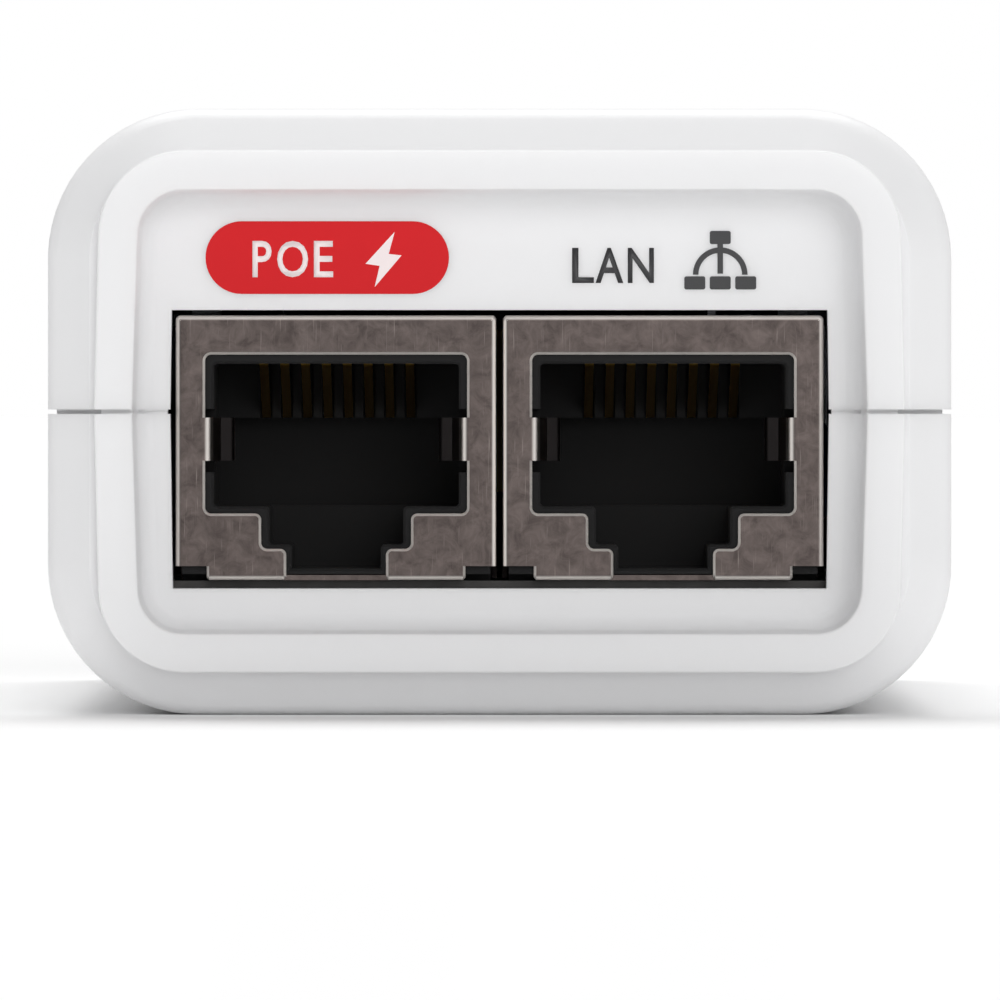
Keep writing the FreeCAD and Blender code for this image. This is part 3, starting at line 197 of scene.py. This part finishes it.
metal_front = min(v.co.y for part in subparts if part["material_slot"] == "shield_metal"
                  for v in nodes[part["node"]].data.vertices)
finishes = {
    # moulded white, satin, hardly varied, so that the shapes alone carry the light
    "case_plastic": finish_of("white_abs", "f1f1f2", 0.4, grain=0.0015, grain_mm=0.12, mottle=0.01,
                              mottle_mm=6, scratch=0.12,
                              extra={"Subsurface Weight": 0.6, "Subsurface Scale": 0.0012,
                                     "Subsurface Radius": (1.0, 1.0, 1.0),
                                     "Specular IOR Level": 0.25}),
    # hazy cream film under the board
    "insulating_film": finish_of("polyester_film", "d8d0b4", 0.35, mottle=0.03),
    # green faces, and the bare brown edge, darkened to near black as painted shade, that shows as a
    # thin line under the sockets
    "board_laminate": coated_board(),
    # small bright cones
    "solder": finish_of("tin_solder", "c8c8c6", 0.25, metallic=1.0, grain=0.01, grain_mm=0.3),
    # the brownish grey frames around the plug openings, outlined by a painted highlight on their
    # rounded edges
    "shield_metal": sheet_metal(metal_front),
    # dull black, so that the plug openings read as deep holes
    "socket_plastic": finish_of("black_pbt", "0c0b0c", 0.85, grain=0.002, mottle=0.1),
    # a faint gold glint deep in the openings
    "contact_metal": finish_of("gold_plated_bronze", "c9a250", 0.3, metallic=1.0, mottle=0.08),
    # satin black block in the back wall
    "inlet_plastic": finish_of("black_nylon", "1d1d1f", 0.45, grain=0.004, mottle=0.1),
    # three bright round pins
    "pin_metal": finish_of("nickel_plated_brass", "cfcabc", 0.22, metallic=1.0, mottle=0.08),
    # a clear rod that shows the lamp behind it
    "clear_plastic": finish_of("clear_polycarbonate", "f4f6f6", 0.08, ior=1.58, scratch=0.2,
                               extra={"Transmission Weight": 1.0}),
    # a small green lamp body
    "lamp_resin": finish_of("tinted_epoxy", "6fc07a", 0.15, ior=1.53,
                            extra={"Transmission Weight": 0.6}),
    # matt black component bodies
    "package_resin": finish_of("moulded_epoxy", "242426", 0.6, grain=0.004, mottle=0.15),
    # glossy dark blue sleeves on the capacitor cans
    "can_sleeve": finish_of("shrunk_sleeve", "1f2836", 0.3, mottle=0.05),
    # dull, slightly gritty dark grey cores
    "ferrite": finish_of("sintered_ferrite", "303033", 0.7, grain=0.01, grain_mm=0.15, mottle=0.2),
    # warm copper coils
    "copper_wire": finish_of("enamelled_copper", "b5703f", 0.3, metallic=1.0, mottle=0.15,
                             mottle_mm=0.6),
    # lumpy glossy blue discs
    "disc_lacquer": finish_of("dipped_lacquer", "2f62a8", 0.3, grain=0.01, grain_mm=0.6, mottle=0.1),
    # a plain yellow box
    "film_case": finish_of("moulded_pbt_box", "d9bc4a", 0.4, mottle=0.04),
    # pale grey bare metal plates
    "sink_aluminium": finish_of("bare_aluminium", "c6c8ca", 0.4, metallic=1.0, mottle=0.1),
    # greyer, shinier fixings on the plates
    "screw_steel": finish_of("zinc_plated_steel", "aeb0b2", 0.35, metallic=1.0, mottle=0.1),
    # matt black former around the core
    "bobbin_plastic": finish_of("black_phenolic", "262424", 0.55, mottle=0.1),
    # glossy yellow wrap
    "winding_tape": finish_of("polyester_tape", "e0bf4a", 0.25, mottle=0.05),
    # tan specks on the board
    "chip_ceramic": finish_of("fired_ceramic", "9a7d5c", 0.5, mottle=0.15, mottle_mm=0.5),
}
for part in subparts:
    mesh = nodes[part["node"]].data
    mesh.materials.clear()
    mesh.materials.append(finishes[part["material_slot"]])


# ------------------------------------------------------------ print on the front panel
# Sizes are in millimetres, and places are (x, z) on the panel.
INK = 0.02                  # thickness of one layer of print
LETTER_WEIGHT = 0.014       # how much the letters' strokes are thickened, per unit of letter size
LOZENGE_WIDE, LOZENGE_HIGH = 11.85, 3.54
LOZENGE_PLACE = (-8.39, 22.25)
BOLT_PLACE = (-5.82, 22.16)
SIGN_PLACE = (10.74, 21.42)  # middle of the sign's arch
SIGN_LINE = 0.27
SIGN_ARCH_RADIUS = 1.33
SIGN_BOX_WIDE, SIGN_BOX_HIGH = 1.02, 0.64
SIGN_BOX_SPREAD = 1.24
SIGN_TOP_BOX, SIGN_LOW_BOXES = 1.81, -0.4   # their middles, above the arch's middle

red_ink = finish_of("red_ink", "d4161e", 0.5, mottle=0.02, extra={"Specular IOR Level": 0.2})
white_ink = finish_of("white_ink", "f6e9e9", 0.4, mottle=0.01)
grey_ink = finish_of("grey_ink", "313133", 0.45, mottle=0.02)


def panel_face(x, z):
    """How far back the front panel's face is at a place on it, in metres."""
    start = Vector((x * MM, cad_size[0].y - 10 * MM, z * MM))
    return nodes["upper_shell"].ray_cast(start, Vector((0, 1, 0)))[1].y


def printed(name, shape, x, z, layer, ink):
    """A closed film of ink: flat faces in shape, drawn in millimetres, laid on the panel at (x, z)."""
    bmesh.ops.remove_doubles(shape, verts=shape.verts, dist=1e-4)
    lifted = bmesh.ops.extrude_face_region(shape, geom=list(shape.faces))["geom"]
    lifted = [part for part in lifted if isinstance(part, bmesh.types.BMVert)]
    bmesh.ops.translate(shape, vec=(0, 0, INK * (layer + 1)), verts=lifted)
    on_panel = (Matrix.Translation((x * MM, panel_face(x, z), z * MM))
                @ Matrix.Rotation(math.radians(90), 4, "X") @ Matrix.Scale(MM, 4))
    bmesh.ops.transform(shape, matrix=on_panel, verts=shape.verts)
    bmesh.ops.recalc_face_normals(shape, faces=shape.faces)
    mesh = bpy.data.meshes.new(name)
    shape.to_mesh(mesh)
    shape.free()
    mesh.materials.append(ink)
    made = bpy.data.objects.new(name, mesh)
    bpy.context.scene.collection.objects.link(made)
    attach(made, "case")


def face(shape, points):
    """A flat face through (x, z) points."""
    shape.faces.new([shape.verts.new((x, z, 0)) for x, z in points])


def turned(x, z, radius, start, end, steps):
    """Points along an arc about (x, z), between two angles in degrees."""
    turns = [math.radians(start + (end - start) * k / steps) for k in range(steps + 1)]
    return [(x + radius * math.cos(t), z + radius * math.sin(t)) for t in turns]


def rounded_bar(wide, high, radius, x=0.0, z=0.0):
    """A rectangle with round corners about (x, z)."""
    points = []
    for i, (right, up) in enumerate(((1, 1), (-1, 1), (-1, -1), (1, -1))):
        centre_x, centre_z = x + right * (wide / 2 - radius), z + up * (high / 2 - radius)
        points += turned(centre_x, centre_z, radius, 90 * i, 90 * (i + 1), 12)
    return points


def word(name, letters, high, z, layer, ink):
    """A short word in capitals; each letter has its left and right end along the panel."""
    shape = bmesh.new()
    for letter, left, right in letters:
        curve = bpy.data.curves.new(letter, "FONT")
        curve.body = letter
        curve.resolution_u = 4
        curve.offset = LETTER_WEIGHT
        writer = bpy.data.objects.new(letter + "_writer", curve)
        outline = bpy.data.meshes.new_from_object(writer)
        bpy.data.objects.remove(writer)
        drawn = set(shape.verts)
        shape.from_mesh(outline)
        bpy.data.meshes.remove(outline)
        fresh = [v for v in shape.verts if v not in drawn]
        across = [v.co.x for v in fresh]
        up = [v.co.y for v in fresh]
        middle = Vector(((max(across) + min(across)) / 2, (max(up) + min(up)) / 2, 0))
        bmesh.ops.translate(shape, vec=-middle, verts=fresh)
        size = ((right - left) / (max(across) - min(across)), high / (max(up) - min(up)), 1)
        bmesh.ops.scale(shape, vec=size, verts=fresh)
        bmesh.ops.translate(shape, vec=((left + right) / 2, 0, 0), verts=fresh)
    printed(name, shape, 0, z, layer, ink)


def lozenge():
    """The powered port's red lozenge."""
    shape = bmesh.new()
    face(shape, rounded_bar(LOZENGE_WIDE, LOZENGE_HIGH, LOZENGE_HIGH / 2 - 1e-3))
    printed("powered_port_lozenge", shape, *LOZENGE_PLACE, 0, red_ink)


def bolt():
    """A lightning bolt on the lozenge."""
    shape = bmesh.new()
    face(shape, [(0.71, 1.34), (0.42, 0.27), (1.05, 0.20), (-0.26, -1.34), (-0.02, -0.31),
                 (-0.71, -0.21)])
    printed("powered_port_bolt", shape, *BOLT_PLACE, 1, white_ink)


def network_sign():
    """A little network tree: one box over three, joined by an arch and a stem."""
    shape = bmesh.new()
    face(shape, turned(0, 0, SIGN_ARCH_RADIUS, 0, 180, 40)
         + turned(0, 0, SIGN_ARCH_RADIUS - SIGN_LINE, 180, 0, 40))
    printed("network_sign_arch", shape, *SIGN_PLACE, 0, grey_ink)
    shape = bmesh.new()
    half, foot, head = SIGN_LINE / 2, 0.05, 1.7
    face(shape, [(-half, foot), (half, foot), (half, head), (-half, head)])
    printed("network_sign_stem", shape, *SIGN_PLACE, 0.2, grey_ink)   # a little over the arch
    shape = bmesh.new()
    for across, up in ((0, SIGN_TOP_BOX), (-SIGN_BOX_SPREAD, SIGN_LOW_BOXES), (0, SIGN_LOW_BOXES),
                       (SIGN_BOX_SPREAD, SIGN_LOW_BOXES)):
        face(shape, rounded_bar(SIGN_BOX_WIDE, SIGN_BOX_HIGH, 0.1, across, up))
    printed("network_sign_boxes", shape, *SIGN_PLACE, 0, grey_ink)


lozenge()
bolt()
word("powered_port_word", (("P", -12.03, -11.10), ("O", -10.83, -9.32), ("E", -9.04, -8.10)),
     1.77, 22.18, 1, white_ink)
word("data_port_word", (("L", 3.53, 4.59), ("A", 4.67, 6.02), ("N", 6.24, 7.51)),
     1.71, 21.87, 0, grey_ink)
network_sign()

# ------------------------------------------------------------ stage
FLOOR_HALF = 30.0           # metres, so that the floor runs on to the horizon

floor_mesh = bpy.data.meshes.new("floor")
shape = bmesh.new()
bmesh.ops.create_grid(shape, x_segments=1, y_segments=1, size=FLOOR_HALF)
shape.to_mesh(floor_mesh)
shape.free()
floor = bpy.data.objects.new("floor", floor_mesh)
bpy.context.scene.collection.objects.link(floor)
paper = bpy.data.materials.new("pale_card")
paper.use_nodes = True
card = paper.node_tree
card.nodes.clear()
# white card that is matt but for a weak sheen
matt = add(card, "ShaderNodeBsdfDiffuse", {"Color": (0.97, 0.97, 0.97, 1)})
gloss = add(card, "ShaderNodeBsdfGlossy", {"Color": (1, 1, 1, 1), "Roughness": 0.1})
sheen = add(card, "ShaderNodeMixShader", {0: 0.04}, {1: matt.outputs[0], 2: gloss.outputs[0]})
add(card, "ShaderNodeOutputMaterial", links={"Surface": sheen.outputs[0]})
floor_mesh.materials.append(paper)

scene = bpy.context.scene
scene.view_settings.view_transform = "Standard"

# a white backdrop that lights the object much less than it looks to the camera
world = bpy.data.worlds.new("studio")
scene.world = world
world.use_nodes = True
sky = world.node_tree
sky.nodes.clear()
lit = add(sky, "ShaderNodeBackground", {"Color": (1, 1, 1, 1), "Strength": 0.4})
seen = add(sky, "ShaderNodeBackground", {"Color": (1, 1, 1, 1), "Strength": 1.0})
ray = add(sky, "ShaderNodeLightPath").outputs["Is Camera Ray"]
both = add(sky, "ShaderNodeMixShader", links={0: ray, 1: lit.outputs[0], 2: seen.outputs[0]})
add(sky, "ShaderNodeOutputWorld", links={"Surface": both.outputs[0]})


def studio_light(name, level, turn, height, softness):
    """A broad far light. Turn is degrees from the front, to the right; height is degrees up;
    softness is how many degrees wide it looks; level is how white it makes a white card."""
    data = bpy.data.lights.new(name, "SUN")
    data.energy = level * math.pi
    data.angle = math.radians(softness)
    made = bpy.data.objects.new(name, data)
    turn, height = math.radians(turn), math.radians(height)
    way = Vector((math.cos(height) * math.sin(turn), -math.cos(height) * math.cos(turn),
                  math.sin(height)))
    made.matrix_world = way.to_track_quat("Z", "Y").to_matrix().to_4x4()
    scene.collection.objects.link(made)


studio_light("key_light", 0.29, 14, 17, 36)
studio_light("top_light", 0.66, 182, 62, 42)

# ------------------------------------------------------------ camera
AWAY = 0.6                  # metres from the front of the object
SEEN_WIDTH = 0.04843        # metres across the picture, at the front of the object
SENSOR = 36.0
SHIFT = (0.0004, -0.0883)   # the object sits above the picture's middle

low, high = cad_size
middle = (low + high) / 2
camera_data = bpy.data.cameras.new("camera")
camera = bpy.data.objects.new("camera", camera_data)
scene.collection.objects.link(camera)
scene.camera = camera
camera_data.sensor_width = SENSOR
camera_data.lens = SENSOR * AWAY / SEEN_WIDTH
camera_data.clip_start = 0.01
camera.matrix_world = (Matrix.Translation((middle.x, low.y - AWAY, middle.z))
                       @ Matrix.Rotation(math.radians(90), 4, "X"))
camera_data.shift_x, camera_data.shift_y = SHIFT
